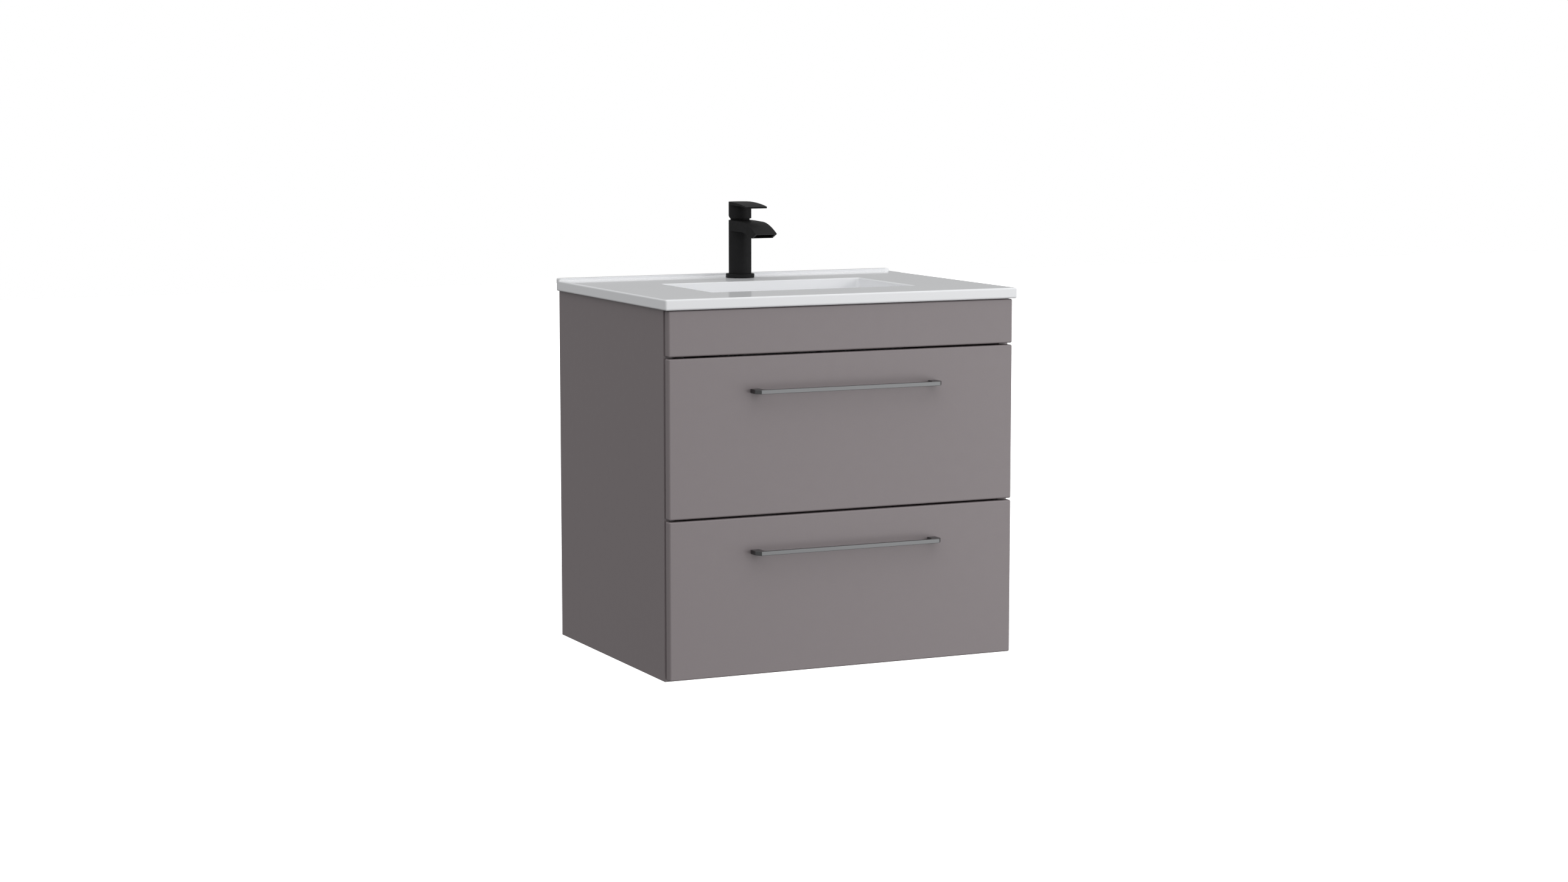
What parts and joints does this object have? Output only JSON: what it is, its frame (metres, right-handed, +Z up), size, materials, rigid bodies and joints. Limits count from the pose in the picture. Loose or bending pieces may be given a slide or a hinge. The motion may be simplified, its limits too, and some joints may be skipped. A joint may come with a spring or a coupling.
{
  "type": "bathroom vanity cabinet",
  "caption": "Wall-hung bathroom vanity cabinet with pull-out drawers, strip handles, a ceramic basin top and a black single-lever tap.",
  "frame": {"origin": "centre of the bounding box in plan, on the plane of the cabinet's underside", "axes": "+Z up, -Y towards the user, +Y into the wall, +X to the user's right"},
  "size_m": [0.61, 0.487, 0.7206],
  "materials": {
    "lacquer": "matt grey-taupe lacquer on board",
    "box_board": "light grey laminated board",
    "handle_metal": "satin gunmetal",
    "zinc_steel": "zinc plated",
    "white_plastic": "white moulded",
    "grey_plastic": "grey moulded",
    "ceramic": "gloss white glaze",
    "chrome_plate": "polished",
    "tap_black": "matt black"
  },
  "bodies": {
    "cabinet": {"side_panel_left": "lacquer", "side_panel_right": "lacquer", "base_panel": "lacquer", "front_rail": "lacquer", "fascia_panel": "lacquer", "back_panel": "box_board", "hanging_rail": "box_board", "lower_runner_left_cabinet_channel": "zinc_steel", "lower_runner_right_cabinet_channel": "zinc_steel", "upper_runner_left_cabinet_channel": "zinc_steel", "upper_runner_right_cabinet_channel": "zinc_steel", "hanger_hook_left": "zinc_steel", "hanger_hook_right": "zinc_steel", "wall_plate_left": "zinc_steel", "wall_plate_right": "zinc_steel", "tap_fixing_stud": "zinc_steel", "tap_fixing_washer": "zinc_steel", "tap_fixing_nut": "zinc_steel", "hanger_housing_left": "white_plastic", "hanger_housing_right": "white_plastic", "trap_bottle": "white_plastic", "trap_outlet_nut": "white_plastic", "trap_outlet_pipe": "white_plastic", "trap_wall_flange": "white_plastic", "basin": "ceramic", "overflow_cap": "chrome_plate", "waste_body": "chrome_plate", "waste_backnut": "chrome_plate", "tap_base_ring": "tap_black", "tap_body": "tap_black", "tap_cap_nut": "tap_black"},
    "upper_drawer": {"upper_drawer_front": "lacquer", "upper_drawer_handle": "handle_metal", "upper_handle_screw_left": "zinc_steel", "upper_handle_screw_right": "zinc_steel", "upper_drawer_side_left": "box_board", "upper_drawer_side_right": "box_board", "upper_drawer_bottom": "box_board", "upper_drawer_back_left": "box_board", "upper_drawer_back_right": "box_board", "upper_drawer_trap_surround": "grey_plastic", "upper_runner_left_drawer_channel": "zinc_steel", "upper_runner_right_drawer_channel": "zinc_steel"},
    "upper_runner_middle": {"upper_runner_left_middle_channel": "zinc_steel", "upper_runner_right_middle_channel": "zinc_steel"},
    "lower_drawer": {"lower_drawer_front": "lacquer", "lower_drawer_handle": "handle_metal", "lower_handle_screw_left": "zinc_steel", "lower_handle_screw_right": "zinc_steel", "lower_drawer_side_left": "box_board", "lower_drawer_side_right": "box_board", "lower_drawer_bottom": "box_board", "lower_drawer_back": "box_board", "lower_runner_left_drawer_channel": "zinc_steel", "lower_runner_right_drawer_channel": "zinc_steel"},
    "lower_runner_middle": {"lower_runner_left_middle_channel": "zinc_steel", "lower_runner_right_middle_channel": "zinc_steel"},
    "waste_plug": {"waste_plug": "chrome_plate"},
    "tap_swivel": {"tap_turret": "tap_black"},
    "tap_lever": {"tap_lever": "tap_black"}
  },
  "joints": [
    {"name": "upper_drawer_slide", "type": "slide", "parent": "cabinet", "child": "upper_drawer", "axis": [0, -1, 0], "range_m": [0, 0.38]},
    {"name": "upper_runner_slide", "type": "slide", "parent": "cabinet", "child": "upper_runner_middle", "axis": [0, -1, 0], "range_m": [0, 0.19]},
    {"name": "lower_drawer_slide", "type": "slide", "parent": "cabinet", "child": "lower_drawer", "axis": [0, -1, 0], "range_m": [0, 0.38]},
    {"name": "lower_runner_slide", "type": "slide", "parent": "cabinet", "child": "lower_runner_middle", "axis": [0, -1, 0], "range_m": [0, 0.19]},
    {"name": "waste_plug_lift", "type": "slide", "parent": "cabinet", "child": "waste_plug", "axis": [0, 0, 1], "range_m": [0, 0.008]},
    {"name": "tap_lever_turn", "type": "hinge", "parent": "cabinet", "child": "tap_swivel", "pos_m": [0, 0.1815, 0.693], "axis": [0, 0, 1], "range_deg": [-45, 45]},
    {"name": "tap_lever_lift", "type": "hinge", "parent": "tap_swivel", "child": "tap_lever", "pos_m": [0, 0.1815, 0.693], "axis": [-1, 0, 0], "range_deg": [0, 24]}
  ],
  "couplings": [
    {"joint": "upper_runner_slide", "follows": "upper_drawer_slide", "ratio": 0.5},
    {"joint": "lower_runner_slide", "follows": "lower_drawer_slide", "ratio": 0.5}
  ]
}
